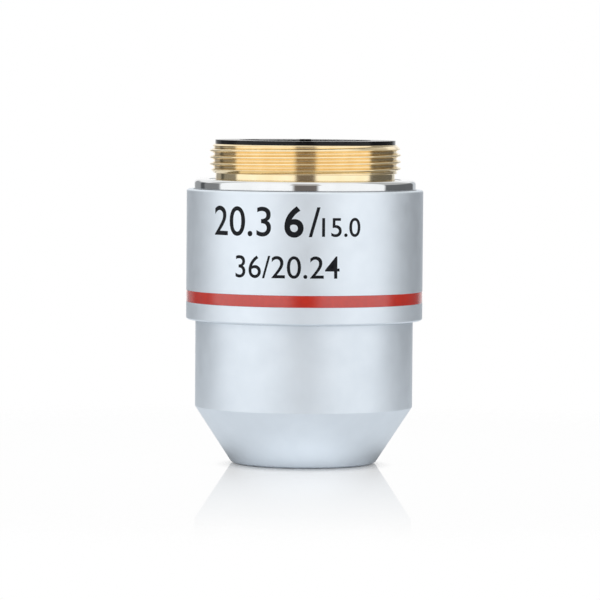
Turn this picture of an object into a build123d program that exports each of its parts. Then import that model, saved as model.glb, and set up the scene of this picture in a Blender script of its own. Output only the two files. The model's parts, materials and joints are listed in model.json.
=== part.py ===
# Low-power plan microscope objective: 4x, numerical aperture 0.10, for a 160 mm tube.
#
# Every size is in millimetres. +Z runs along the optical axis, from the specimen towards
# the mounting thread, and z = 0 is the flat end of the nose, on which the objective can
# stand. The specimen lies 15 mm below that face and 45 mm below the mounting shoulder.
#
# The sizes grow outwards from the glass: each piece takes its radius from the piece that
# it holds, a named wall and a named clearance. Heights stack up from the front lens to
# the mounting thread in the same way.

import os
from math import copysign, sqrt

from build123d import *

os.makedirs("parts", exist_ok=True)

# Clearances, each measured on the radius unless it says otherwise
slide_gap = 0.03  # a piece that slides into a bore
thread_gap = 0.05  # a screwed pair, both threads drawn as plain cylinders
lens_gap = 0.02  # glass in its cell
cement_gap = 0.01  # the cement layer of a doublet, measured along the axis
edge_break = 0.15  # the small bevel on turned edges

# Radii of curvature of the glass, positive where the centre lies above the surface
front_entry_curve = 31.7
front_cement_curve = 45.4
front_exit_curve = -20.0
middle_entry_curve = -7.6
middle_exit_curve = 17.6
singlet_entry_curve = -20.9
singlet_exit_curve = -13.5
rear_cement_curve = -8.4
rear_exit_curve = -11.7

# Glass along the axis: middle thickness, or edge thickness where the edge is the thin place
front_vertex_z = 2.34
front_flint_thickness = 1.20
front_crown_thickness = 2.60
middle_thickness = 1.20
singlet_thickness = 2.20
rear_air_space = 0.23
rear_crown_edge = 0.68
rear_flint_thickness = 1.20

# Glass across the axis
front_glass_radius = 4.60
middle_glass_radius = 4.00
singlet_glass_radius = 5.40
rear_glass_step = 0.60  # how much wider the rear doublet is than the singlet under it
seat_overlap = 0.35  # how far a seat or ring reaches over the glass

# Cells, spacers and rings
lip_thickness = 1.00
cell_end_margin = 0.10  # a cell stands this much proud of the ring that it holds
cell_wall = 1.15
front_recess = 0.40  # each front piece stands this much behind the one around it
front_ring_step = 0.23
front_cell_wall = 0.42
front_spacer_height = 4.31
spacer_wall = 1.00
middle_ring_step = 0.40
middle_ring_height = 0.80
stop_radius = 2.40  # the aperture that limits the cone of light to 0.10
stop_thickness = 0.75
stop_edge = 0.12
rear_ring_step = 0.33
rear_ring_height = 0.90
stack_ring_height = 0.90
stack_ring_width = 0.80
notch_width = 0.90
notch_depth = 0.45
cell_notch_depth = 0.30

# Lens barrel, which carries the whole stack, and what holds it in the body
snout_recess = 0.60
snout_wall = 0.80
snout_length = 3.40
barrel_ledge = 1.00
barrel_wall = 1.40
barrel_flange_width = 0.80
barrel_flange_height = 1.00
thick_shim = 0.20
thin_shim = 0.10
lock_ring_height = 1.20
lock_ring_width = 1.80

# Body, nose and sleeve
body_wall = 1.32
body_foot_height = 3.00
face_land = 1.45
face_break = 0.20  # the bevel round both rims of the nose face
cone_height = 6.00
nose_lip_height = 1.00
nose_lip_step = 0.50
nose_height = 9.20  # the plain cylinder that shows between cone and sleeve
nose_overlap = 3.00  # how far the nose reaches up into the sleeve
body_rim_wall = 1.44  # around whichever is wider, the barrel's seat or the mount's spigot
sleeve_wall = 1.50
sleeve_step = 1.00
flange_step = 0.75
flange_height = 1.05
flange_rounding = 0.45
seat_clearance = 0.08  # how far outside the thread the flat seat of the shoulder begins
seat_relief = 0.05

# Colour band round the sleeve
band_offset = 1.85
band_height = 1.22
band_depth = 0.15
band_recess = 0.02

# Mount: thread 20.24 mm across, 36 turns to the inch, 55 degree form
spigot_length = 2.644  # sets the shoulder 45 mm above the specimen
thread_radius = 10.12
thread_pitch = 0.7056
thread_depth = 0.45
thread_start = 0.05  # centre of the first groove above the undercut
thread_chamfer = 0.50
undercut_height = 0.65
undercut_relief = 0.19
mount_height = 3.70
mount_wall = 1.33

# Black baffle in the rear of the mount
baffle_flange_inset = 0.60
baffle_flange_height = 0.43
baffle_length = 2.50
baffle_wall = 1.10
baffle_groove_pitch = 0.80
baffle_groove_depth = 0.20
baffle_notch_length = 1.40
baffle_notch_width = 1.20
baffle_notch_depth = 0.28

# Grub screws under the sleeve, which hold the lens barrel still
screw_count = 3
screw_radius = 0.80
screw_length = 2.00
socket_radius = 0.45
socket_depth = 0.90


def sag(curve, radius):
    """Height of a spherical surface above its vertex, at a radius from the axis."""
    return curve - copysign(sqrt(curve**2 - radius**2), curve)


def turn(*outline, mode=Mode.ADD):
    """Turns a closed outline of (radius, height) points about the optical axis."""
    with BuildSketch(Plane.XZ) as section:
        with BuildLine():
            Polyline(*outline, close=True)
        make_face()
    revolve(section.sketch, axis=Axis.Z, mode=mode)


def tube(outer_radius, inner_radius, low_z, high_z):
    """A plain ring between two heights."""
    with BuildSketch(Plane.XY.offset(low_z)) as section:
        Circle(outer_radius)
        Circle(inner_radius, mode=Mode.SUBTRACT)
    extrude(section.sketch, amount=high_z - low_z)


def notches(face_z, depth, inner_radius, length, width):
    """Two slots for a ring spanner, cut from a face; a negative depth cuts downwards."""
    with BuildSketch(Plane.XY.offset(face_z)) as slots:
        with PolarLocations(inner_radius + length / 2, 2, start_angle=90):
            Rectangle(length, width)
    extrude(slots.sketch, amount=depth, mode=Mode.SUBTRACT)


def retaining_ring(outer_radius, inner_radius, low_z, high_z, notched_face_z):
    """A threaded ring with two spanner slots across one of its faces."""
    tube(outer_radius, inner_radius, low_z, high_z)
    depth = notch_depth if notched_face_z == low_z else -notch_depth
    overshoot = thread_gap
    length = outer_radius - inner_radius + 2 * overshoot
    notches(notched_face_z, depth, inner_radius - overshoot, length, notch_width)


def polished_line(curve, vertex_z, radius):
    """One glass surface in section, from the axis to its edge; a curve of None is flat."""
    if curve is None:
        return Line((0, vertex_z), (radius, vertex_z))
    middle = radius / 2
    return ThreePointArc(
        (0, vertex_z),
        (middle, vertex_z + sag(curve, middle)),
        (radius, vertex_z + sag(curve, radius)),
    )


def lens(low_z, low_curve, high_z, high_curve, radius, low_rim=0.0, high_rim=0.0):
    """One glass element. A rim is the width of the flat bevel round a hollow surface."""
    with BuildSketch(Plane.XZ) as section:
        with BuildLine():
            low = polished_line(low_curve, low_z, radius - low_rim)
            high = polished_line(high_curve, high_z, radius - high_rim)
            low_edge = (radius, (low @ 1).Y)
            high_edge = (radius, (high @ 1).Y)
            if low_rim:
                Line(low @ 1, low_edge)
            Line(low_edge, high_edge)
            if high_rim:
                Line(high_edge, high @ 1)
            Line(high @ 0, low @ 0)
        make_face()
    revolve(section.sketch, axis=Axis.Z)


# Radii at which seats and rings touch the glass
rear_glass_radius = singlet_glass_radius + rear_glass_step
front_seat_radius = front_glass_radius - seat_overlap
middle_seat_radius = middle_glass_radius - seat_overlap
singlet_seat_radius = singlet_glass_radius - seat_overlap
rear_seat_radius = rear_glass_radius - seat_overlap

# Front group along the axis
front_cement_z = front_vertex_z + front_flint_thickness
front_exit_z = front_cement_z + front_crown_thickness
front_ring_top_z = front_vertex_z + sag(front_entry_curve, front_seat_radius)
front_seat_z = front_exit_z + sag(front_exit_curve, front_seat_radius)
front_cell_low_z = snout_recess + front_recess
front_ring_low_z = front_cell_low_z + front_recess
front_cell_top_z = front_seat_z + lip_thickness
stack_floor_z = front_cell_top_z + barrel_ledge

# Middle lens along the axis
middle_cell_low_z = stack_floor_z + front_spacer_height
middle_seat_z = middle_cell_low_z + lip_thickness
middle_vertex_z = middle_seat_z - sag(middle_entry_curve, middle_seat_radius)
middle_exit_z = middle_vertex_z + middle_thickness
middle_ring_low_z = middle_exit_z + sag(middle_exit_curve, middle_seat_radius)
middle_ring_top_z = middle_ring_low_z + middle_ring_height
middle_cell_top_z = middle_ring_top_z + cell_end_margin

# Rear group along the axis
rear_cell_low_z = middle_cell_top_z + stop_thickness
singlet_seat_z = rear_cell_low_z + lip_thickness
singlet_vertex_z = singlet_seat_z - sag(singlet_entry_curve, singlet_seat_radius)
singlet_exit_z = singlet_vertex_z + singlet_thickness
lens_spacer_low_z = singlet_exit_z + sag(singlet_exit_curve, singlet_seat_radius)
rear_vertex_z = singlet_exit_z + rear_air_space
rear_ledge_z = rear_vertex_z - cell_end_margin
rear_cement_z = rear_vertex_z + rear_crown_edge - sag(rear_cement_curve, rear_glass_radius)
rear_exit_z = rear_cement_z + rear_flint_thickness
rear_ring_low_z = rear_exit_z + sag(rear_exit_curve, rear_seat_radius)
rear_ring_top_z = rear_ring_low_z + rear_ring_height
rear_cell_top_z = rear_ring_top_z + cell_end_margin

# Barrel, body and mount along the axis
snout_top_z = snout_recess + snout_length
stack_ring_top_z = rear_cell_top_z + stack_ring_height
barrel_top_z = stack_ring_top_z + cell_end_margin
barrel_flange_low_z = barrel_top_z - barrel_flange_height
thin_shim_low_z = barrel_flange_low_z - thin_shim
body_ledge_z = thin_shim_low_z - thick_shim
lock_ring_top_z = barrel_top_z + lock_ring_height
shoulder_z = lock_ring_top_z + spigot_length
thread_low_z = shoulder_z + undercut_height
mount_top_z = shoulder_z + mount_height
baffle_low_z = mount_top_z - baffle_length
baffle_top_z = mount_top_z + baffle_flange_height

# Nose and sleeve along the axis
sleeve_low_z = cone_height + nose_height
nose_top_z = sleeve_low_z + nose_overlap
sleeve_top_z = shoulder_z - flange_height
band_low_z = sleeve_low_z + band_offset
band_top_z = band_low_z + band_height
body_low_z = cone_height + body_foot_height
screw_z = (nose_top_z + body_ledge_z) / 2

# Radii outwards from the front glass
front_cell_bore_radius = front_glass_radius + lens_gap
front_ring_bore_radius = front_glass_radius + front_ring_step
front_cell_radius = front_ring_bore_radius + front_cell_wall
snout_bore_radius = front_cell_radius + thread_gap
snout_radius = snout_bore_radius + snout_wall
nose_opening_radius = snout_radius + slide_gap
nose_face_radius = nose_opening_radius + face_land
nose_lip_radius = nose_opening_radius + nose_lip_step

# Radii outwards from the middle and rear glass
middle_cell_bore_radius = middle_glass_radius + lens_gap
middle_ring_bore_radius = middle_glass_radius + middle_ring_step
singlet_bore_radius = singlet_glass_radius + lens_gap
rear_cell_bore_radius = rear_glass_radius + lens_gap
rear_ring_bore_radius = rear_glass_radius + rear_ring_step
cell_radius = rear_cell_bore_radius + cell_wall
stack_bore_radius = cell_radius + slide_gap
stack_ring_radius = stack_bore_radius - thread_gap
barrel_radius = stack_bore_radius + barrel_wall
barrel_flange_radius = barrel_radius + barrel_flange_width
body_bore_radius = barrel_radius + slide_gap
barrel_seat_radius = barrel_flange_radius + slide_gap
lock_ring_radius = barrel_seat_radius - thread_gap
body_thread_radius = body_bore_radius + body_wall
nose_thread_radius = body_thread_radius + thread_gap

# Radii inwards from the mounting thread
thread_root_radius = thread_radius - thread_depth
spigot_radius = thread_root_radius - undercut_relief
spigot_bore_radius = spigot_radius + thread_gap
mount_bore_radius = spigot_radius - mount_wall
baffle_radius = mount_bore_radius - thread_gap
baffle_bore_radius = baffle_radius - baffle_wall
baffle_flange_radius = thread_radius - baffle_flange_inset

# Radii outwards from the body's rim and from the thread
shoulder_seat_radius = thread_radius + seat_clearance
land_radius = max(barrel_seat_radius, spigot_bore_radius) + body_rim_wall
sleeve_bore_radius = land_radius + slide_gap
sleeve_radius = sleeve_bore_radius + sleeve_wall
flange_radius = sleeve_radius - flange_step
nose_radius = sleeve_radius - sleeve_step
nose_seat_radius = nose_radius + slide_gap

# Front doublet: a flint cemented to a crown
with BuildPart() as front_doublet_flint:
    lens(
        front_vertex_z,
        front_entry_curve,
        front_cement_z,
        front_cement_curve,
        front_glass_radius,
    )
front_doublet_flint.part.label = "front_doublet_flint"

with BuildPart() as front_doublet_crown:
    lens(
        front_cement_z + cement_gap,
        front_cement_curve,
        front_exit_z,
        front_exit_curve,
        front_glass_radius,
    )
front_doublet_crown.part.label = "front_doublet_crown"

# Middle lens: hollow on both sides, which flattens the image
with BuildPart() as middle_lens:
    lens(
        middle_vertex_z,
        middle_entry_curve,
        middle_exit_z,
        middle_exit_curve,
        middle_glass_radius,
        low_rim=seat_overlap,
        high_rim=seat_overlap,
    )
middle_lens.part.label = "middle_lens"

# Rear group: a meniscus, then a doublet with a flat front
with BuildPart() as rear_singlet:
    lens(
        singlet_vertex_z,
        singlet_entry_curve,
        singlet_exit_z,
        singlet_exit_curve,
        singlet_glass_radius,
        low_rim=seat_overlap,
    )
rear_singlet.part.label = "rear_singlet"

with BuildPart() as rear_doublet_crown:
    lens(
        rear_vertex_z,
        None,
        rear_cement_z,
        rear_cement_curve,
        rear_glass_radius,
    )
rear_doublet_crown.part.label = "rear_doublet_crown"

with BuildPart() as rear_doublet_flint:
    lens(
        rear_cement_z + cement_gap,
        rear_cement_curve,
        rear_exit_z,
        rear_exit_curve,
        rear_glass_radius,
    )
rear_doublet_flint.part.label = "rear_doublet_flint"

# Front cell: the doublet goes in from below, against a lip, and its ring follows
with BuildPart() as front_cell:
    turn(
        (front_ring_bore_radius, front_cell_low_z),
        (front_cell_radius, front_cell_low_z),
        (front_cell_radius, front_cell_top_z),
        (front_seat_radius, front_cell_top_z),
        (front_seat_radius, front_seat_z),
        (front_cell_bore_radius, front_seat_z),
        (front_cell_bore_radius, front_ring_top_z),
        (front_ring_bore_radius, front_ring_top_z),
    )
    notches(
        front_cell_low_z,
        cell_notch_depth,
        front_ring_bore_radius - thread_gap,
        front_cell_wall + 2 * thread_gap,
        notch_width,
    )
front_cell.part.label = "front_cell"

with BuildPart() as front_retaining_ring:
    retaining_ring(
        front_ring_bore_radius - thread_gap,
        front_seat_radius,
        front_ring_low_z,
        front_ring_top_z,
        front_ring_low_z,
    )
front_retaining_ring.part.label = "front_retaining_ring"

# Tube between the barrel's ledge and the middle cell
with BuildPart() as front_spacer:
    tube(cell_radius, cell_radius - spacer_wall, stack_floor_z, middle_cell_low_z)
front_spacer.part.label = "front_spacer"

# Middle cell: the hollow lens and its ring go in from above
with BuildPart() as middle_cell:
    turn(
        (middle_seat_radius, middle_cell_low_z),
        (cell_radius, middle_cell_low_z),
        (cell_radius, middle_cell_top_z),
        (middle_ring_bore_radius, middle_cell_top_z),
        (middle_ring_bore_radius, middle_ring_low_z),
        (middle_cell_bore_radius, middle_ring_low_z),
        (middle_cell_bore_radius, middle_seat_z),
        (middle_seat_radius, middle_seat_z),
    )
    outer_rims = middle_cell.edges().filter_by(GeomType.CIRCLE).group_by(SortBy.RADIUS)[-1]
    chamfer(outer_rims, edge_break)
middle_cell.part.label = "middle_cell"

with BuildPart() as middle_retaining_ring:
    retaining_ring(
        middle_ring_bore_radius - thread_gap,
        middle_seat_radius,
        middle_ring_low_z,
        middle_ring_top_z,
        middle_ring_top_z,
    )
middle_retaining_ring.part.label = "middle_retaining_ring"

# Aperture stop: a disc clamped between two cells, with a hole that opens upwards
with BuildPart() as aperture_stop:
    turn(
        (stop_radius, middle_cell_top_z),
        (cell_radius, middle_cell_top_z),
        (cell_radius, rear_cell_low_z),
        (stop_radius + stop_thickness, rear_cell_low_z),
        (stop_radius, middle_cell_top_z + stop_edge),
    )
aperture_stop.part.label = "aperture_stop"

# Rear cell: the meniscus, a thin spacer, the doublet and a ring, all from above
with BuildPart() as rear_cell:
    turn(
        (singlet_seat_radius, rear_cell_low_z),
        (cell_radius, rear_cell_low_z),
        (cell_radius, rear_cell_top_z),
        (rear_ring_bore_radius, rear_cell_top_z),
        (rear_ring_bore_radius, rear_ring_low_z),
        (rear_cell_bore_radius, rear_ring_low_z),
        (rear_cell_bore_radius, rear_ledge_z),
        (singlet_bore_radius, rear_ledge_z),
        (singlet_bore_radius, singlet_seat_z),
        (singlet_seat_radius, singlet_seat_z),
    )
    outer_rims = rear_cell.edges().filter_by(GeomType.CIRCLE).group_by(SortBy.RADIUS)[-1]
    chamfer(outer_rims, edge_break)
rear_cell.part.label = "rear_cell"

with BuildPart() as rear_lens_spacer:
    tube(singlet_glass_radius, singlet_seat_radius, lens_spacer_low_z, rear_vertex_z)
rear_lens_spacer.part.label = "rear_lens_spacer"

with BuildPart() as rear_retaining_ring:
    retaining_ring(
        rear_ring_bore_radius - thread_gap,
        rear_seat_radius,
        rear_ring_low_z,
        rear_ring_top_z,
        rear_ring_top_z,
    )
rear_retaining_ring.part.label = "rear_retaining_ring"

with BuildPart() as stack_retaining_ring:
    retaining_ring(
        stack_ring_radius,
        stack_ring_radius - stack_ring_width,
        rear_cell_top_z,
        stack_ring_top_z,
        stack_ring_top_z,
    )
stack_retaining_ring.part.label = "stack_retaining_ring"

# Lens barrel: snout, inner ledge, long bore for the stack, and the flange that locates it
with BuildPart() as lens_barrel:
    turn(
        (snout_bore_radius, snout_recess),
        (snout_radius, snout_recess),
        (snout_radius, snout_top_z),
        (barrel_radius, front_cell_top_z),
        (barrel_radius, barrel_flange_low_z),
        (barrel_flange_radius, barrel_flange_low_z),
        (barrel_flange_radius, barrel_top_z),
        (stack_bore_radius, barrel_top_z),
        (stack_bore_radius, stack_floor_z),
        (front_glass_radius, stack_floor_z),
        (front_glass_radius, front_cell_top_z),
        (snout_bore_radius, front_cell_top_z),
    )
    snout_rim = lens_barrel.edges().group_by(Axis.Z)[0].sort_by(SortBy.RADIUS)[-1]
    chamfer(snout_rim, edge_break)
lens_barrel.part.label = "lens_barrel"

# Shims under the barrel's flange, which set the height of the focus
with BuildPart() as parfocal_shim_thick:
    tube(barrel_flange_radius, body_bore_radius, body_ledge_z, thin_shim_low_z)
parfocal_shim_thick.part.label = "parfocal_shim_thick"

with BuildPart() as parfocal_shim_thin:
    tube(barrel_flange_radius, body_bore_radius, thin_shim_low_z, barrel_flange_low_z)
parfocal_shim_thin.part.label = "parfocal_shim_thin"

with BuildPart() as barrel_lock_ring:
    retaining_ring(
        lock_ring_radius,
        lock_ring_radius - lock_ring_width,
        barrel_top_z,
        lock_ring_top_z,
        lock_ring_top_z,
    )
barrel_lock_ring.part.label = "barrel_lock_ring"

# Main body: screwed into the nose below, plain under the sleeve, polished at the shoulder
with BuildPart() as main_body:
    turn(
        (body_bore_radius, body_low_z),
        (body_thread_radius, body_low_z),
        (body_thread_radius, nose_top_z),
        (land_radius, nose_top_z),
        (land_radius, sleeve_top_z),
        (flange_radius, sleeve_top_z),
        (flange_radius, shoulder_z),
        (shoulder_seat_radius, shoulder_z),
        (shoulder_seat_radius, shoulder_z - seat_relief),
        (spigot_bore_radius, shoulder_z - seat_relief),
        (spigot_bore_radius, lock_ring_top_z),
        (barrel_seat_radius, lock_ring_top_z),
        (barrel_seat_radius, body_ledge_z),
        (body_bore_radius, body_ledge_z),
    )
    shoulder_rim = main_body.edges().group_by(Axis.Z)[-1].sort_by(SortBy.RADIUS)[-1]
    fillet(shoulder_rim, flange_rounding)
    foot_rim = main_body.edges().group_by(Axis.Z)[0].sort_by(SortBy.RADIUS)[-1]
    chamfer(foot_rim, edge_break)
    # Tapped holes for the grub screws
    with Locations((0, 0, screw_z)):
        with PolarLocations(0, screw_count):
            Cylinder(
                screw_radius + thread_gap,
                flange_radius,
                rotation=(0, 90, 0),
                align=(Align.CENTER, Align.CENTER, Align.MIN),
                mode=Mode.SUBTRACT,
            )
main_body.part.label = "main_body"

# Grub screws: flat points on the lens barrel, hexagon sockets outwards
with BuildPart() as locking_screws:
    for screw in range(screw_count):
        outwards = Vector(1, 0, 0).rotate(Axis.Z, screw * 360 / screw_count)
        point = outwards * barrel_radius + Vector(0, 0, screw_z)
        screw_plane = Plane(point, x_dir=(0, 0, 1), z_dir=outwards)
        with BuildSketch(screw_plane):
            Circle(screw_radius)
        extrude(amount=screw_length)
        with BuildSketch(screw_plane.offset(screw_length)):
            RegularPolygon(socket_radius, 6)
        extrude(amount=-socket_depth, mode=Mode.SUBTRACT)
locking_screws.part.label = "locking_screws"

# Nose: plain cylinder and cone in one piece, open at its flat end for the snout
with BuildPart() as nose_shell:
    turn(
        (nose_opening_radius, 0),
        (nose_face_radius, 0),
        (nose_radius, cone_height),
        (nose_radius, nose_top_z),
        (nose_thread_radius, nose_top_z),
        (nose_thread_radius, cone_height),
        (nose_lip_radius, nose_lip_height),
        (nose_opening_radius, nose_lip_height),
    )
    face_rims = nose_shell.edges().group_by(Axis.Z)[0]
    chamfer(face_rims, face_break)
nose_shell.part.label = "nose_shell"

# Sleeve: clamped between the nose and the shoulder, with a groove for the colour band
with BuildPart() as outer_sleeve:
    turn(
        (nose_seat_radius, sleeve_low_z),
        (sleeve_radius, sleeve_low_z),
        (sleeve_radius, band_low_z),
        (sleeve_radius - band_depth, band_low_z),
        (sleeve_radius - band_depth, band_top_z),
        (sleeve_radius, band_top_z),
        (sleeve_radius, sleeve_top_z),
        (sleeve_bore_radius, sleeve_top_z),
        (sleeve_bore_radius, nose_top_z),
        (nose_seat_radius, nose_top_z),
    )
    end_rims = [
        outer_sleeve.edges().group_by(Axis.Z)[end].sort_by(SortBy.RADIUS)[-1]
        for end in (0, -1)
    ]
    chamfer(end_rims, edge_break)
outer_sleeve.part.label = "outer_sleeve"

# Enamel in the groove, whose colour tells the magnification
with BuildPart() as colour_band:
    tube(sleeve_radius - band_recess, sleeve_radius - band_depth, band_low_z, band_top_z)
colour_band.part.label = "colour_band"

# Mount: the bare metal ring that carries the thread, screwed into the body
flank_width = thread_pitch / 3
root_width = thread_pitch / 6
thread_turns = int((mount_height - undercut_height) / thread_pitch)
with BuildPart() as mount_ring:
    turn(
        (mount_bore_radius, lock_ring_top_z),
        (spigot_radius, lock_ring_top_z),
        (spigot_radius, thread_low_z),
        (thread_radius, thread_low_z),
        (thread_radius, mount_top_z),
        (mount_bore_radius, mount_top_z),
    )
    lead_rim = mount_ring.edges().group_by(Axis.Z)[-1].sort_by(SortBy.RADIUS)[-1]
    chamfer(lead_rim, thread_chamfer)
    # Grooves one pitch apart stand for the turns of the thread
    for thread_turn in range(thread_turns):
        groove_z = thread_low_z + thread_start + thread_turn * thread_pitch
        turn(
            (thread_radius, groove_z - root_width / 2 - flank_width),
            (thread_root_radius, groove_z - root_width / 2),
            (thread_root_radius, groove_z + root_width / 2),
            (thread_radius, groove_z + root_width / 2 + flank_width),
            mode=Mode.SUBTRACT,
        )
mount_ring.part.label = "mount_ring"

# Rear baffle: the black ring whose rim shows above the thread, grooved to trap stray light
baffle_grooves = int(baffle_length / baffle_groove_pitch)
with BuildPart() as rear_baffle:
    turn(
        (baffle_bore_radius, baffle_low_z),
        (baffle_radius, baffle_low_z),
        (baffle_radius, mount_top_z),
        (baffle_flange_radius, mount_top_z),
        (baffle_flange_radius, baffle_top_z),
        (baffle_bore_radius, baffle_top_z),
    )
    for groove in range(baffle_grooves):
        groove_z = baffle_low_z + (groove + 0.5) * baffle_groove_pitch
        turn(
            (baffle_bore_radius, groove_z - baffle_groove_depth),
            (baffle_bore_radius + baffle_groove_depth, groove_z),
            (baffle_bore_radius, groove_z + baffle_groove_depth),
            mode=Mode.SUBTRACT,
        )
    notches(
        baffle_top_z,
        -baffle_notch_depth,
        baffle_bore_radius - baffle_groove_depth,
        baffle_notch_length + baffle_groove_depth,
        baffle_notch_width,
    )
rear_baffle.part.label = "rear_baffle"

pieces = (
    front_doublet_flint,
    front_doublet_crown,
    middle_lens,
    rear_singlet,
    rear_doublet_crown,
    rear_doublet_flint,
    front_cell,
    front_retaining_ring,
    front_spacer,
    middle_cell,
    middle_retaining_ring,
    aperture_stop,
    rear_cell,
    rear_lens_spacer,
    rear_retaining_ring,
    stack_retaining_ring,
    lens_barrel,
    parfocal_shim_thick,
    parfocal_shim_thin,
    barrel_lock_ring,
    main_body,
    locking_screws,
    nose_shell,
    outer_sleeve,
    colour_band,
    mount_ring,
    rear_baffle,
)
for piece in pieces:
    export_step(piece.part, f"parts/{piece.part.label}.step")
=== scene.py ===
import json
from math import cos, pi, radians, sin, sqrt, tan

import bmesh
import bpy
from mathutils import Matrix, Vector


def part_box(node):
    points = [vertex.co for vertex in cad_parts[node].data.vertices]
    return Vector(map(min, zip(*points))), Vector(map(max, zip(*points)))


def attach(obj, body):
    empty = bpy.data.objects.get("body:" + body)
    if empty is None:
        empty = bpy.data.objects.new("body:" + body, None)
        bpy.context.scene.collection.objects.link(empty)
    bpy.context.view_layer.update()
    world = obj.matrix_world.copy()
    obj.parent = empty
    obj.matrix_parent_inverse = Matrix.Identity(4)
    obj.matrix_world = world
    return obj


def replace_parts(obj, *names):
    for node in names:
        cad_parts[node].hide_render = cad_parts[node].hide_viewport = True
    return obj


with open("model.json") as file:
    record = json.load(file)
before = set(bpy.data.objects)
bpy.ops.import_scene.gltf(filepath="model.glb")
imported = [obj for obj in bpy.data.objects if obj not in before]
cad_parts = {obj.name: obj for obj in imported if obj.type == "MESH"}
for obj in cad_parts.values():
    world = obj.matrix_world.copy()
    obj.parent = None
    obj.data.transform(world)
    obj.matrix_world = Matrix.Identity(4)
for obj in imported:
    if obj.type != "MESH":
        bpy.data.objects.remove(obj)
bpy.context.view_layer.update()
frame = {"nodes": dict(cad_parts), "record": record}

# Everything is in metres, in the frame of the CAD: +Z is the optical axis and the
# nose face lies on z = 0. The camera looks along +Y.
MM = 0.001
WHOLE_TURN = 2 * pi

# Camera: the photograph's width in pixels, and its focal length and viewpoint worked out
# from how far the edges' ellipses open
PHOTO_WIDTH = 600
FOCAL_PIXELS = 4276
SENSOR_WIDTH = 36.0  # in millimetres, unlike the rest
CAMERA_PLACE = Vector((-0.45, -452.0, 40.33)) * MM
CAMERA_DOWN = radians(2.927)
CAMERA_ROLL = radians(0.42)
CAMERA_NEAR = 1 * MM
CAMERA_FAR = 10.0

# Turned pieces
ROUND_SEGMENTS = 256
SAME_PLACE = 1e-4 * MM  # corners nearer to each other than this are one
STRAIGHT_TURN = radians(0.3)  # a corner that turns less than this lies on a straight line
SHARP_TURN = radians(25)  # a corner that turns less than this is part of a curve
BEVEL_TURN = radians(60)  # a corner that turns less than this is the edge of a bevel
EDGE_ROUNDING = 0.04 * MM
BEVEL_ROUNDING = 0.18 * MM
EDGE_SHARE = 0.4  # of the straight stretch beside it that a rounded edge may take up
EDGE_STEPS = 4  # faces round each rounded edge

# Tapped holes for the locking screws in the body
SCREW_COUNT = 3
SCREW_HOLE_RADIUS = 0.85 * MM
SCREW_HOLE_REACH = 2.5 * MM  # inwards and outwards from the screws' outer ends
SCREW_HOLE_SEGMENTS = 48

# Mounting thread: 36 turns to the inch, 55 degree form with rounded crests and roots
THREAD_PITCH = 25.4 / 36 * MM
THREAD_FLANK = radians(55 / 2)
THREAD_DEPTH = 0.640327 * THREAD_PITCH
THREAD_ROUNDING = 0.137329 * THREAD_PITCH
THREAD_ROWS = 110
CREST_OFFSET = 0.507 * MM  # height of a crest above the shoulder on the +X side
LEAD_SLOPE = 1.0  # 45 degree bevels at both ends of the thread

# Marks on the sleeve: plain numbers, each with its place along the sleeve's girth from
# the front, the height of its foot, the height of its figures and its added boldness
MARK_DEPTH = 0.006 * MM
MARK_STEP = 0.2 * MM  # width of the strips in which the marks bend round the sleeve
FIGURE_SHARE = 0.691  # height of the font's figures over its size
FIGURE_STEPS = 6  # straight pieces in each of the figures' curves
FIRST_LINE = 24.39 * MM
SECOND_LINE = 20.07 * MM
MARKS = (
    ("20.3", -10.56 * MM, FIRST_LINE, 3.0 * MM, 0.004),
    ("6", -2.13 * MM, FIRST_LINE, 3.0 * MM, 0.020),
    ("/", 0.40 * MM, FIRST_LINE, 3.0 * MM, 0.004),
    ("15.0", 1.78 * MM, FIRST_LINE, 1.92 * MM, 0.006),
    ("36/20.24", -7.60 * MM, SECOND_LINE, 2.28 * MM, 0.002),
)

# Finishes
WHITE = (1.0, 1.0, 1.0)
BLACK = (0.0, 0.0, 0.0)
NOISE_LOW = 0.3  # most of the noise lies between these values
NOISE_HIGH = 0.7
NOISE_DETAIL = 3.0
# Painted shade: the base colour is darkened where other surfaces crowd close, in joints, thread
# roots and under lips
PAINTED_SHADE_SAMPLES = 8
PAINTED_SHADE_CROWDED = 0.45  # openness of a place at which its painted shade is full
PAINTED_SHADE_START = 1 * MM  # there is no painted shade below this height
PAINTED_SHADE_FULL = 2 * MM  # and all of it above this one
BARE_EDGE = 0.12 * MM  # how far the bare inner rim of the black ring reaches
BARE_ALUMINIUM = (0.62, 0.63, 0.64)

# Floor: a board that fades into the white surround and mirrors the object near its foot
FLOOR_RADIUS = 90 * MM
FLOOR_SEGMENTS = 96
FLOOR_DROP = 0.02 * MM  # how far it lies below the nose face
FLOOR_FADE_START = 55 * MM
BOARD_GREY = 0.70

# Glow that makes the board white for the camera, and the distances between which it rises. Withheld
# round the foot, it paints a shadow there over the board's real one
GLOW = 0.96
GLOW_START = 5.7 * MM
GLOW_FULL = 9.4 * MM
GLOW_LEAN = 0.25  # how much further the painted shadow reaches before the object than behind it

# Glow that the object mirrors from the board, and the distances between which it rises. Withheld
# near the foot, it paints the shade that the object mirrors there
MIRRORED_GLOW = 0.73
MIRRORED_START = 8.0 * MM
MIRRORED_FULL = 12.2 * MM
MIRRORED_LEAN = -0.15  # negative: the rise, and with it the painted shade, reaches further behind the object
MIRRORED_COLOUR = (0.97, 1.0, 1.03)

# Mirror on the board: a share of what a smooth surface reflects, which fades from the
# object's foot outwards
MIRROR_SHARE = 0.68
MIRROR_IOR = 1.45
MIRROR_ROUGHNESS = 0.03
MIRROR_START = 7.5 * MM
MIRROR_END = 85 * MM

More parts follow.
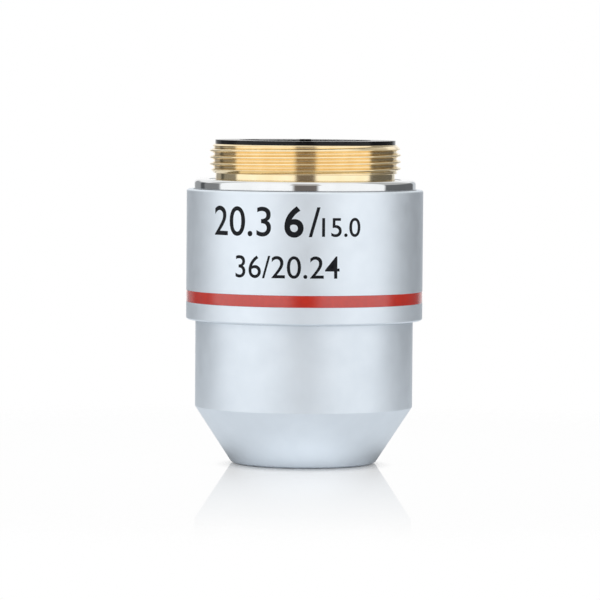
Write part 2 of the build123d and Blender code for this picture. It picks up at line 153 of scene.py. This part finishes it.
# Studio: two tall soft boxes left and right of the camera, dark gaps before and beside
# them, and a white wall behind. Angles are in degrees from the camera, positive to the
# right, and each row gives the light that begins at its angle.
BOX_LIGHT = (1.14, 1.15, 1.16)
GAP_LIGHT = (0.145, 0.148, 0.152)
FRONT_GAP_LIGHT = (0.180, 0.158, 0.145)
WALL_LIGHT = (0.60, 0.63, 0.66)
BACK_LIGHT = (1.0, 1.0, 1.0)
EDGE_LIGHT = (0.36, 0.37, 0.38)
SHADED_LIGHT = (0.25, 0.255, 0.26)
DARK_LIGHT = (0.10, 0.105, 0.11)
FRONT_LIGHT = (0.54, 0.51, 0.48)
UPPER_GAP_LIGHT = (0.55, 0.55, 0.54)
TOP_LIGHT = (1.05, 1.05, 1.05)
GROUND_LIGHT = (0.85, 0.85, 0.85)
SIDE_LIGHTS = (
    (-162, EDGE_LIGHT),
    (-138, DARK_LIGHT),
    (-128, SHADED_LIGHT),
    (-99, BOX_LIGHT),
    (-12, FRONT_GAP_LIGHT),
    (13, BOX_LIGHT),
    (91, GAP_LIGHT),
    (150, WALL_LIGHT),
    (165, BACK_LIGHT),
)
UPPER_LIGHTS = (
    (-122, UPPER_GAP_LIGHT),
    (-104, BOX_LIGHT),
    (-16, FRONT_LIGHT),
    (17, BOX_LIGHT),
    (94, UPPER_GAP_LIGHT),
    (148, BACK_LIGHT),
)
TOP_LIGHTS = ((0, TOP_LIGHT),)
EDGE_SOFTNESS = 1.5  # to each side of the angle at which a light begins

# The lights lie in layers over the ground's. Each begins at the sine of a height, where it
# takes the place of the one below.
LAYERS = ((-0.35, SIDE_LIGHTS), (0.27, UPPER_LIGHTS), (0.85, TOP_LIGHTS))
LAYER_SOFTNESS = 0.05  # to each side of that sine


# Outlines
def section(node_name, side=1):
    """The outline of a turned CAD node in one half of its XZ plane, as (radius, height) corners."""
    cut = bmesh.new()
    cut.from_mesh(frame["nodes"][node_name].data)
    bmesh.ops.remove_doubles(cut, verts=cut.verts, dist=SAME_PLACE)
    everything = cut.verts[:] + cut.edges[:] + cut.faces[:]
    result = bmesh.ops.bisect_plane(
        cut, geom=everything, plane_co=(0, 0, 0), plane_no=(0, 1, 0), dist=SAME_PLACE
    )
    edges = {
        item
        for item in result["geom_cut"]
        if isinstance(item, bmesh.types.BMEdge) and side * item.verts[0].co.x > 0
    }
    points = [Vector((side * corner.co.x, corner.co.z)) for corner in walked_round(edges)]
    cut.free()
    return in_order(corners_only(points))


def walked_round(edges):
    """The corners of a closed ring of edges, in their order round it."""
    edge = edges.pop()
    first, vertex = edge.verts
    corners = [first]
    while vertex is not first:
        corners.append(vertex)
        edge = next(item for item in vertex.link_edges if item in edges)
        edges.discard(edge)
        vertex = edge.other_vert(vertex)
    return corners


def corners_only(points):
    """Leaves out the points of an outline that lie on a straight line between their neighbours."""
    kept = []
    for index, point in enumerate(points):
        into = point - points[index - 1]
        out = points[(index + 1) % len(points)] - point
        if into.length > 0 and out.length > 0 and into.angle(out) > STRAIGHT_TURN:
            kept.append(point)
    return kept


def in_order(points):
    """Orders an outline from its lowest inner corner, with its material on the left."""
    area = sum(
        points[index - 1].x * point.y - point.x * points[index - 1].y
        for index, point in enumerate(points)
    )
    if area < 0:
        points = points[::-1]
    first = points.index(min(points, key=lambda point: (point.y, point.x)))
    return points[first:] + points[:first]


def round_edges(points):
    """Rounds every sharp corner of a closed outline, wider where it edges a bevel."""
    rounded = []
    for index, corner in enumerate(points):
        into = corner - points[index - 1]
        out = points[(index + 1) % len(points)] - corner
        turn = into.angle(out)
        if turn < SHARP_TURN:
            rounded.append(corner)
            continue
        radius = BEVEL_ROUNDING if turn < BEVEL_TURN else EDGE_ROUNDING
        reach = min(radius * tan(turn / 2), EDGE_SHARE * into.length, EDGE_SHARE * out.length)
        start = corner - into.normalized() * reach
        end = corner + out.normalized() * reach
        for step in range(EDGE_STEPS + 1):
            share = step / EDGE_STEPS
            rounded.append(
                start * (1 - share) ** 2 + corner * 2 * share * (1 - share) + end * share**2
            )
    return rounded


# Nodes and finishes
class Nodes:
    """A node tree built by short calls, whose inputs take a plain value or a node's output."""

    def __init__(self, tree):
        self.tree = tree

    def fill(self, node, inputs):
        """Fills inputs of a node, each with a number, a vector, a colour or another's output."""
        for name, value in inputs.items():
            socket = node.inputs[name]
            if isinstance(value, bpy.types.NodeSocket):
                self.tree.links.new(value, socket)
            elif socket.type == "RGBA":
                socket.default_value = (*value, 1)
            else:
                socket.default_value = value

    def add(self, kind, inputs=None, **settings):
        """Adds a node with its settings and fills its inputs."""
        made = self.tree.nodes.new(f"ShaderNode{kind}")
        for name, value in settings.items():
            setattr(made, name, value)
        self.fill(made, inputs or {})
        return made

    def math(self, operation, *terms):
        """A number worked out from others."""
        return self.add("Math", dict(enumerate(terms)), operation=operation).outputs["Value"]

    def spread(self, value, start, end, low=0.0, high=1.0, **settings):
        """Maps the range from start to end to the one from low to high."""
        ends = {"From Min": start, "From Max": end, "To Min": low, "To Max": high}
        return self.add("MapRange", {"Value": value, **ends}, **settings).outputs["Result"]

    def ramp(self, value, stops):
        """The colour that belongs to a value, where each stop gives a value and its colour."""
        made = self.add("ValToRGB", {"Fac": value})
        elements = made.color_ramp.elements
        while len(elements) < len(stops):
            elements.new(1.0)
        for element, (position, colour) in zip(elements, stops):
            element.position = position
            element.color = (*colour, 1)
        return made.outputs["Color"]

    def mix(self, share, first, second):
        """A mix of two colours, with a share of the second."""
        inputs = {"Factor": share, "A": first, "B": second}
        return self.add("Mix", inputs, data_type="RGBA").outputs["Result"]

    def blend(self, share, first, second):
        """A mix of two shaders, with a share of the second."""
        return self.add("MixShader", {0: share, 1: first, 2: second}).outputs["Shader"]

    def seen(self):
        """1 for what the camera sees, also through glass, and 0 for every other ray of light."""
        rays = self.add("LightPath").outputs
        return self.math("MAXIMUM", rays["Is Camera Ray"], rays["Is Transmission Ray"])


class Surface(Nodes):
    """A material whose nodes hang on one Principled shader."""

    def __init__(self, name, inputs):
        self.material = bpy.data.materials.new(name)
        self.material.use_nodes = True
        super().__init__(self.material.node_tree)
        self.shader = self.tree.nodes["Principled BSDF"]
        self.fill(self.shader, inputs)
        self.place = self.add("TexCoord").outputs["Object"]

    def noise(self, size, stretch=(1, 1, 1)):
        """Noise whose features are about `size` metres across, squeezed along each axis."""
        scale = [factor / size for factor in stretch]
        squeezed = self.add("Mapping", {"Vector": self.place, "Scale": scale}).outputs["Vector"]
        inputs = {"Vector": squeezed, "Scale": 1.0, "Detail": NOISE_DETAIL}
        return self.add("TexNoise", inputs).outputs["Fac"]

    def radius(self):
        """The distance from the axis."""
        across = self.add("VectorMath", {0: self.place, 1: (1, 1, 0)}, operation="MULTIPLY")
        length = self.add("VectorMath", {0: across.outputs["Vector"]}, operation="LENGTH")
        return length.outputs["Value"]

    def height(self):
        """The height above the nose face."""
        return self.add("SeparateXYZ", {"Vector": self.place}).outputs["Z"]

    def rings(self, size):
        """Noise that changes only with radius and height, as the marks of turning do."""
        flat = self.add("CombineXYZ", {"X": self.radius(), "Y": self.height()}).outputs["Vector"]
        inputs = {"Vector": flat, "Scale": 1 / size, "Detail": NOISE_DETAIL}
        return self.add("TexNoise", inputs).outputs["Fac"]

    def paint(self, colour):
        """Makes a colour the base colour."""
        self.colour = colour
        self.fill(self.shader, {"Base Color": colour})

    def colours(self, noise, first, second):
        """Lets the base colour change with noise."""
        self.paint(self.ramp(noise, [(NOISE_LOW, first), (NOISE_HIGH, second)]))

    def roughness(self, noise, low, high):
        """Lets the roughness change with noise."""
        level = self.spread(noise, NOISE_LOW, NOISE_HIGH, low, high)
        self.fill(self.shader, {"Roughness": level})

    def relief(self, noise, depth):
        """Gives the surface a fine relief of a depth in metres."""
        bump = self.add("Bump", {"Height": noise, "Distance": depth})
        self.fill(self.shader, {"Normal": bump.outputs["Normal"]})

    def painted_shade(self, reach, colour, openness=0.8, share=1.0):
        """Darkens the colour as painted shade where other surfaces crowd within `reach`, as in
        joints and roots.

        A place keeps its own colour if it is at least as open as `openness`. The painted shade
        covers a `share` at most, and nothing close above the floor.
        """
        nearby = self.add("AmbientOcclusion", {"Distance": reach}, samples=PAINTED_SHADE_SAMPLES)
        most = self.spread(self.height(), PAINTED_SHADE_START, PAINTED_SHADE_FULL, 0.0, share)
        amount = self.spread(nearby.outputs["AO"], PAINTED_SHADE_CROWDED, openness, most, 0.0)
        self.paint(self.mix(amount, self.colour, colour))


def satin_chrome():
    """Fine blasted and plated metal, faintly cloudy."""
    surface = Surface("satin_chrome_finish", {"Metallic": 1.0})
    surface.colours(surface.noise(3 * MM), (0.81, 0.868, 0.925), (0.85, 0.908, 0.965))
    surface.roughness(surface.noise(1.1 * MM), 0.50, 0.56)
    surface.relief(surface.noise(0.15 * MM), 0.004 * MM)
    # Painted shade in the joints below the flange and under the sleeve's lower lip
    surface.painted_shade(0.25 * MM, (0.25, 0.26, 0.27))
    return surface


def polished_chrome():
    """Bright plate with the faintest turning marks."""
    surface = Surface("polished_chrome_finish", {"Metallic": 1.0})
    surface.colours(surface.noise(2 * MM), (0.76, 0.77, 0.775), (0.81, 0.82, 0.825))
    surface.roughness(surface.noise(0.8 * MM), 0.03, 0.08)
    surface.relief(surface.rings(0.09 * MM), 0.0002 * MM)
    # Painted shade at the flange's foot, where it meets the sleeve
    surface.painted_shade(0.25 * MM, (0.08, 0.08, 0.085))
    return surface


def bare_brass():
    """Bright turned brass: fine rings and slight changes of tone."""
    surface = Surface("bare_brass_finish", {"Metallic": 1.0})
    surface.colours(surface.noise(1.5 * MM), (0.93, 0.75, 0.46), (0.97, 0.81, 0.53))
    surface.roughness(surface.noise(0.6 * MM), 0.08, 0.14)
    surface.relief(surface.rings(0.03 * MM), 0.0006 * MM)
    # Painted shade, warm-tinted, in the thread's roots and the undercut below it
    surface.painted_shade(0.4 * MM, (0.50, 0.25, 0.08), openness=0.6, share=0.25)
    return surface


def plain_brass():
    """Rolled shim brass, a little dull."""
    surface = Surface("plain_brass_finish", {"Metallic": 1.0})
    surface.colours(surface.noise(0.8 * MM), (0.62, 0.46, 0.22), (0.76, 0.58, 0.30))
    surface.roughness(surface.noise(0.3 * MM, (1, 6, 1)), 0.25, 0.38)
    return surface


def red_enamel():
    """Glossy enamel, slightly uneven where it was wiped flush."""
    coat = {"Coat Weight": 1.0, "Coat Roughness": 0.24, "Coat IOR": 1.84}
    surface = Surface("red_enamel_finish", {"Specular IOR Level": 0.1, **coat})
    surface.colours(surface.noise(0.6 * MM), (0.70, 0.015, 0.001), (0.78, 0.020, 0.001))
    surface.roughness(surface.noise(0.4 * MM), 0.16, 0.26)
    surface.relief(surface.noise(0.7 * MM), 0.0015 * MM)
    return surface


def blackened_brass():
    """Chemically blackened brass with fine turning rings."""
    surface = Surface("blackened_brass_finish", {"IOR": 1.5})
    surface.colours(surface.noise(0.5 * MM), (0.016, 0.015, 0.014), (0.032, 0.029, 0.026))
    surface.roughness(surface.noise(0.3 * MM), 0.32, 0.44)
    surface.relief(surface.rings(0.05 * MM), 0.0010 * MM)
    return surface


def black_anodised(name="black_anodised_finish"):
    """Matt black anodised aluminium with fine turning rings."""
    surface = Surface(name, {"IOR": 1.5, "Specular IOR Level": 0.2})
    surface.colours(surface.noise(0.4 * MM), (0.004, 0.004, 0.005), (0.009, 0.009, 0.010))
    surface.roughness(surface.noise(0.25 * MM), 0.14, 0.20)
    surface.relief(surface.rings(0.06 * MM), 0.0002 * MM)
    return surface


def bright_rimmed():
    """Black anodised ring with a bare inner rim, where the height less the radius is greatest."""
    surface = black_anodised("bright_rimmed_finish")
    rim = max(point.y - point.x for point in section("rear_baffle"))
    rise = surface.math("SUBTRACT", surface.height(), surface.radius())
    bare = surface.spread(rise, rim - BARE_EDGE, rim - BARE_EDGE / 2)
    surface.fill(surface.shader, {"Metallic": bare})
    surface.paint(surface.mix(bare, surface.colour, BARE_ALUMINIUM))
    return surface


def screw_steel():
    """Plain steel with drawn marks."""
    surface = Surface("screw_steel_finish", {"Metallic": 1.0})
    surface.colours(surface.noise(0.3 * MM), (0.30, 0.30, 0.31), (0.42, 0.42, 0.43))
    surface.roughness(surface.noise(0.1 * MM, (1, 1, 5)), 0.25, 0.4)
    return surface


def coated_glass():
    """Optical glass whose coating leaves a faint violet reflection."""
    glass = {"IOR": 1.6, "Transmission Weight": 1.0, "Specular Tint": (0.62, 0.45, 1.0)}
    surface = Surface("coated_glass_finish", glass)
    surface.colours(surface.noise(2 * MM), (0.95, 0.97, 0.99), (0.97, 0.985, 1.0))
    surface.roughness(surface.noise(1 * MM), 0.0, 0.015)
    return surface


def mark_paint():
    """Black paint of the printed figures."""
    surface = Surface("mark_paint_finish", {"IOR": 1.45, "Specular IOR Level": 0.2})
    surface.colours(surface.noise(0.2 * MM), (0.004, 0.005, 0.008), (0.010, 0.011, 0.015))
    surface.roughness(surface.noise(0.1 * MM), 0.4, 0.55)
    return surface


finishes = {
    "satin_chrome": satin_chrome().material,
    "polished_chrome": polished_chrome().material,
    "bare_brass": bare_brass().material,
    "plain_brass": plain_brass().material,
    "red_enamel": red_enamel().material,
    "blackened_brass": blackened_brass().material,
    "black_anodised": black_anodised().material,
    "screw_steel": screw_steel().material,
    "coated_glass": coated_glass().material,
}

# Every CAD node takes the finish of its slot, and the black ring also has its bare rim
slot_of = {part["node"]: part["material_slot"] for part in frame["record"]["subparts"]}
for node_name, node in frame["nodes"].items():
    node.material_slots[0].material = finishes[slot_of[node_name]]
frame["nodes"]["rear_baffle"].material_slots[0].material = bright_rimmed().material


# Pieces
def new_object(name, data):
    """An object in the scene."""
    made = bpy.data.objects.new(name, data)
    bpy.context.scene.collection.objects.link(made)
    return made


def new_mesh(name, shape):
    """A mesh with the form of an edit shape, which it frees."""
    mesh = bpy.data.meshes.new(name)
    shape.to_mesh(mesh)
    shape.free()
    return mesh


def spin(name, outline_at):
    """The mesh that an outline sweeps round the axis. outline_at(angle) gives its points there."""
    vertices = []
    for column in range(ROUND_SEGMENTS):
        angle = column * WHOLE_TURN / ROUND_SEGMENTS
        for point in outline_at(angle):
            vertices.append((point.x * cos(angle), point.x * sin(angle), point.y))
    count = len(vertices) // ROUND_SEGMENTS
    faces = []
    for column in range(ROUND_SEGMENTS):
        near = column * count
        far = (column + 1) % ROUND_SEGMENTS * count
        for row in range(count):
            above = (row + 1) % count
            faces.append((near + row, far + row, far + above, near + above))
    mesh = bpy.data.meshes.new(name)
    mesh.from_pydata(vertices, [], faces)
    mesh.validate()
    mesh.shade_smooth()
    return mesh


def finer_copy(node_name, name, outline_at):
    """A finely turned piece that takes a CAD node's place, in the finish of its slot."""
    slot_name = slot_of[node_name]
    piece = new_object(name, spin(name, outline_at))
    piece.data.materials.append(finishes[slot_name])
    weighted = piece.modifiers.new("flat faces stay flat", "WEIGHTED_NORMAL")
    weighted.keep_sharp = True
    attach(piece, "root")
    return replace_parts(piece, node_name)


def turned(node_name, side=1, inset=0.0):
    """A finer copy with the node's own outline, its edges rounded and its widest stretch set in."""
    outline = round_edges(section(node_name, side))
    widest = max(point.x for point in outline)
    outline = [Vector((min(point.x, widest - inset), point.y)) for point in outline]
    return finer_copy(node_name, f"{node_name}_turned", lambda angle: outline)


def screw_hole_rods():
    """Rods where the locking screws go in, one of them on +X."""
    low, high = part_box("locking_screws")
    lying = Matrix.Rotation(pi / 2, 4, "Y")
    place = Matrix.Translation((high.x, 0, (low.z + high.z) / 2))
    rods = bmesh.new()
    for hole in range(SCREW_COUNT):
        outwards = Matrix.Rotation(hole * WHOLE_TURN / SCREW_COUNT, 4, "Z")
        bmesh.ops.create_cone(
            rods,
            cap_ends=True,
            segments=SCREW_HOLE_SEGMENTS,
            radius1=SCREW_HOLE_RADIUS,
            radius2=SCREW_HOLE_RADIUS,
            depth=2 * SCREW_HOLE_REACH,
            matrix=outwards @ place @ lying,
        )
    return new_mesh("holes", rods)


def bore_screw_holes(body):
    """Cuts the tapped holes for the locking screws into the body's mesh."""
    holes = new_object("holes", screw_hole_rods())
    for modifier in body.modifiers:
        modifier.show_viewport = False
    cut = body.modifiers.new("holes", "BOOLEAN")
    cut.object = holes
    graph = bpy.context.evaluated_depsgraph_get()
    body.data = bpy.data.meshes.new_from_object(body.evaluated_get(graph))
    body.data.set_sharp_from_angle(angle=SHARP_TURN)
    body.modifiers.remove(cut)
    for modifier in body.modifiers:
        modifier.show_viewport = True
    bpy.data.objects.remove(holes)


def thread_drop(distance):
    """How far the thread's surface lies below its crest, at a distance along the axis."""
    reach = THREAD_ROUNDING * cos(THREAD_FLANK)
    half_pitch = THREAD_PITCH / 2
    if distance < reach:
        return THREAD_ROUNDING - sqrt(THREAD_ROUNDING**2 - distance**2)
    if distance > half_pitch - reach:
        beyond = half_pitch - distance
        return THREAD_DEPTH - THREAD_ROUNDING + sqrt(THREAD_ROUNDING**2 - beyond**2)
    crest_drop = THREAD_ROUNDING * (1 - sin(THREAD_FLANK))
    return crest_drop + (distance - reach) / tan(THREAD_FLANK)


class MountOutline:
    """The mount ring's outline with its real right-handed thread, sized from the CAD node."""

    def __init__(self):
        outline = section("mount_ring")
        self.shoulder_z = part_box("main_body")[1].z
        self.low_z = min(point.y for point in outline)
        self.top_z = max(point.y for point in outline)
        self.bore_radius = min(point.x for point in outline)
        self.crest_radius = max(point.x for point in outline)
        self.spigot_radius = max(point.x for point in outline if point.y < self.shoulder_z)
        self.bevel_radius = max(
            point.x for point in outline if point.y > self.top_z - EDGE_ROUNDING
        )
        self.thread_z = max(
            point.y for point in outline if abs(point.x - self.spigot_radius) < EDGE_ROUNDING
        )
        self.plain = self.plain_stretch()

    def plain_stretch(self):
        """The stretch from the bore's top edge down, round the lower end and up to the thread."""
        plain_corners = [
            Vector((self.bore_radius, self.top_z)),
            Vector((self.bore_radius, self.low_z)),
            Vector((self.spigot_radius, self.low_z)),
            Vector((self.spigot_radius, self.thread_z)),
        ]
        thread_corners = [
            Vector((self.bevel_radius, self.thread_z)),
            Vector((self.bevel_radius, self.top_z)),
        ]
        rounded = round_edges(plain_corners + thread_corners)
        return rounded[: len(plain_corners) * (EDGE_STEPS + 1)]

    def at(self, angle):
        """The plain stretch, followed by the thread's surface at an angle round the axis."""
        outline = list(self.plain)
        crest_z = self.shoulder_z + CREST_OFFSET
        root_radius = self.crest_radius - THREAD_DEPTH
        row_height = (self.top_z - self.thread_z) / THREAD_ROWS
        for row in range(THREAD_ROWS + 1):
            z = self.thread_z + row * row_height
            along = (z - crest_z) / THREAD_PITCH - angle / WHOLE_TURN
            distance = abs((along + 0.5) % 1 - 0.5) * THREAD_PITCH
            radius = self.crest_radius - thread_drop(distance)
            low_limit = root_radius + (z - self.thread_z) * LEAD_SLOPE
            high_limit = self.bevel_radius + (self.top_z - z) * LEAD_SLOPE
            outline.append(Vector((min(radius, low_limit, high_limit), z)))
        return outline


def flat_mark(figures, start, foot, height, boldness):
    """A flat shape of plain figures: x runs round the sleeve, y along it and z out of it."""
    curve = bpy.data.curves.new("figures", "FONT")
    curve.body = figures
    curve.size = height / FIGURE_SHARE
    curve.extrude = MARK_DEPTH
    curve.offset = boldness * curve.size
    curve.resolution_u = FIGURE_STEPS
    holder = bpy.data.objects.new("figures", curve)
    flat = bmesh.new()
    flat.from_mesh(holder.to_mesh())
    left = min(vertex.co.x for vertex in flat.verts)
    bmesh.ops.translate(flat, verts=flat.verts, vec=(start - left, foot, 0))
    bpy.data.objects.remove(holder)
    return flat


def cut_in_strips(flat):
    """Cuts a flat mark across, so that it can bend."""
    places = [vertex.co.x for vertex in flat.verts]
    start = min(places)
    cuts = int((max(places) - start) / MARK_STEP)
    for cut in range(1, cuts + 1):
        everything = flat.verts[:] + flat.edges[:] + flat.faces[:]
        line = (start + cut * MARK_STEP, 0, 0)
        bmesh.ops.bisect_plane(flat, geom=everything, plane_co=line, plane_no=(1, 0, 0))


def wrap_round(flat, radius):
    """Bends a flat mark round the front of a cylinder, up to whose radius it reaches."""
    for vertex in flat.verts:
        angle = vertex.co.x / radius
        out = radius - MARK_DEPTH + vertex.co.z
        vertex.co = (out * sin(angle), -out * cos(angle), vertex.co.y)


def sleeve_marks():
    """All marks as one thin layer of paint on the sleeve's front."""
    sleeve_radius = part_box("outer_sleeve")[1].x
    layer = bmesh.new()
    for row in MARKS:
        flat = flat_mark(*row)
        cut_in_strips(flat)
        wrap_round(flat, sleeve_radius)
        part = new_mesh("part", flat)
        layer.from_mesh(part)
        bpy.data.meshes.remove(part)
    piece = new_object("sleeve_marks", new_mesh("sleeve_marks", layer))
    piece.data.materials.append(mark_paint().material)
    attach(piece, "root")


# The body's outline is read on -X, away from the screw hole on +X, and the sleeve is set
# in by the depth of the paint on it.
turned("nose_shell")
turned("outer_sleeve", inset=MARK_DEPTH)
bore_screw_holes(turned("main_body", side=-1))
turned("colour_band")
turned("lens_barrel")
finer_copy("mount_ring", "mount_ring_threaded", MountOutline().at)
sleeve_marks()


# Floor
class FloorBoard(Nodes):
    """A white board whose colour and glow together come out white away from the foot, where the
    glow is withheld as painted shadow over the real one.
    """

    def __init__(self):
        self.material = bpy.data.materials.new("floor_board")
        self.material.use_nodes = True
        super().__init__(self.material.node_tree)
        self.tree.nodes.clear()
        place = self.add("TexCoord").outputs["Object"]
        self.radius = self.add("VectorMath", {0: place}, operation="LENGTH").outputs["Value"]
        self.behind = self.add("SeparateXYZ", {"Vector": place}).outputs["Y"]
        self.rays = self.add("LightPath").outputs
        glows = self.sum(self.glow(), self.mirrored_glow())
        board = self.with_mirror(self.sum(self.board(), glows))
        self.add("OutputMaterial", {"Surface": self.ended(board)})

    def fade(self, distance, start, end, low, high):
        """A soft change from low to high between two distances."""
        return self.spread(distance, start, end, low, high, interpolation_type="SMOOTHSTEP")

    def leaning(self, lean):
        """The distance from the axis, less by a share before the object and more behind it."""
        return self.math("MULTIPLY_ADD", self.behind, lean, self.radius)

    def sum(self, first, second):
        """Two shaders added up."""
        return self.add("AddShader", {0: first, 1: second}).outputs["Shader"]

    def emission(self, colour, strength):
        """Light of a colour."""
        inputs = {"Color": colour, "Strength": strength}
        return self.add("Emission", inputs).outputs["Emission"]

    def board(self):
        """Matt board, dark where the glow takes its place. Round the foot, where the glow is
        withheld as painted shadow, it is grey and shows the object's real shadow.
        """
        low_grey = BOARD_GREY * (1 - GLOW)
        grey = self.fade(self.leaning(GLOW_LEAN), GLOW_START, GLOW_FULL, BOARD_GREY, low_grey)
        paper = self.add("CombineColor", {"Red": grey, "Green": grey, "Blue": grey})
        return self.add("BsdfDiffuse", {"Color": paper.outputs["Color"]}).outputs["BSDF"]

    def glow(self):
        """White light that the camera sees, withheld round the foot as painted shadow."""
        level = self.fade(self.leaning(GLOW_LEAN), GLOW_START, GLOW_FULL, 0.0, GLOW)
        return self.emission(WHITE, self.math("MULTIPLY", self.seen(), level))

    def mirrored_glow(self):
        """Light that only shiny surfaces show, withheld near the foot as painted shade in what they
        mirror.
        """
        distance = self.leaning(MIRRORED_LEAN)
        level = self.fade(distance, MIRRORED_START, MIRRORED_FULL, 0.0, MIRRORED_GLOW)
        strength = self.math("MULTIPLY", self.rays["Is Glossy Ray"], level)
        return self.emission(MIRRORED_COLOUR, strength)

    def with_mirror(self, board):
        """Lays a mirror over the board that is strongest at the object's foot."""
        mirror = self.add("BsdfGlossy", {"Color": WHITE, "Roughness": MIRROR_ROUGHNESS})
        gloss = self.add("Fresnel", {"IOR": MIRROR_IOR}).outputs["Fac"]
        level = self.fade(self.radius, MIRROR_START, MIRROR_END, MIRROR_SHARE, 0.0)
        return self.blend(self.math("MULTIPLY", gloss, level), board, mirror.outputs["BSDF"])

    def ended(self, board):
        """Fades the board out towards its edge, and makes it clear where it is seen from below."""
        clear = self.add("BsdfTransparent").outputs["BSDF"]
        level = self.fade(self.radius, FLOOR_FADE_START, FLOOR_RADIUS, 1.0, 0.0)
        below = self.add("NewGeometry").outputs["Backfacing"]
        passed = self.math("MAXIMUM", below, self.rays["Transparent Depth"])
        return self.blend(passed, self.blend(level, clear, board), clear)


def make_floor():
    """A round board just under the nose face."""
    disc = bmesh.new()
    bmesh.ops.create_circle(disc, cap_ends=True, radius=FLOOR_RADIUS, segments=FLOOR_SEGMENTS)
    floor = new_object("floor", new_mesh("floor", disc))
    floor.location.z = -FLOOR_DROP
    floor.data.materials.append(FloorBoard().material)


# Surround
def turn_share(angle):
    """Where an angle from the camera lies in a whole turn that begins behind the object."""
    return angle / 360 + 0.5


def light_stops(lights):
    """The stops of the colour ramp that goes once round the object, with soft edges."""
    stops = []
    before = lights[-1][1]
    for angle, after in lights:
        stops.append((turn_share(angle - EDGE_SOFTNESS), before))
        stops.append((turn_share(angle + EDGE_SOFTNESS), after))
        before = after
    return stops


def surround_light(nodes):
    """The studio's light from each direction, layer over layer."""
    place = nodes.add("TexCoord").outputs["Generated"]
    direction = nodes.add("SeparateXYZ", {"Vector": place}).outputs
    before = nodes.math("MULTIPLY", direction["Y"], -1)
    turn = nodes.spread(nodes.math("ARCTAN2", direction["X"], before), -pi, pi)
    height = nodes.spread(direction["Z"], -1, 1)
    light = GROUND_LIGHT
    for begins, lights in LAYERS:
        low_stop = ((begins - LAYER_SOFTNESS + 1) / 2, BLACK)
        high_stop = ((begins + LAYER_SOFTNESS + 1) / 2, WHITE)
        above = nodes.ramp(height, (low_stop, high_stop))
        light = nodes.mix(above, light, nodes.ramp(turn, light_stops(lights)))
    return light


def make_studio():
    """The world: white for the camera, and a plain soft studio for what the object mirrors."""
    world = bpy.data.worlds.new("studio")
    bpy.context.scene.world = world
    world.use_nodes = True
    nodes = Nodes(world.node_tree)
    nodes.tree.nodes.clear()
    studio = nodes.add("Background", {"Color": surround_light(nodes)}).outputs["Background"]
    white = nodes.add("Background", {"Color": WHITE}).outputs["Background"]
    nodes.add("OutputWorld", {"Surface": nodes.blend(nodes.seen(), studio, white)})


def make_camera():
    """The photograph's viewpoint, with its slight roll."""
    camera = bpy.data.cameras.new("camera")
    camera.sensor_width = SENSOR_WIDTH
    camera.lens = FOCAL_PIXELS / PHOTO_WIDTH * SENSOR_WIDTH
    camera.clip_start = CAMERA_NEAR
    camera.clip_end = CAMERA_FAR
    holder = new_object("camera", camera)
    pitch = Matrix.Rotation(pi / 2 - CAMERA_DOWN, 4, "X")
    roll = Matrix.Rotation(CAMERA_ROLL, 4, "Z")
    holder.matrix_world = Matrix.Translation(CAMERA_PLACE) @ pitch @ roll
    bpy.context.scene.camera = holder


make_floor()
make_studio()
make_camera()
bpy.context.scene.view_settings.view_transform = "Standard"
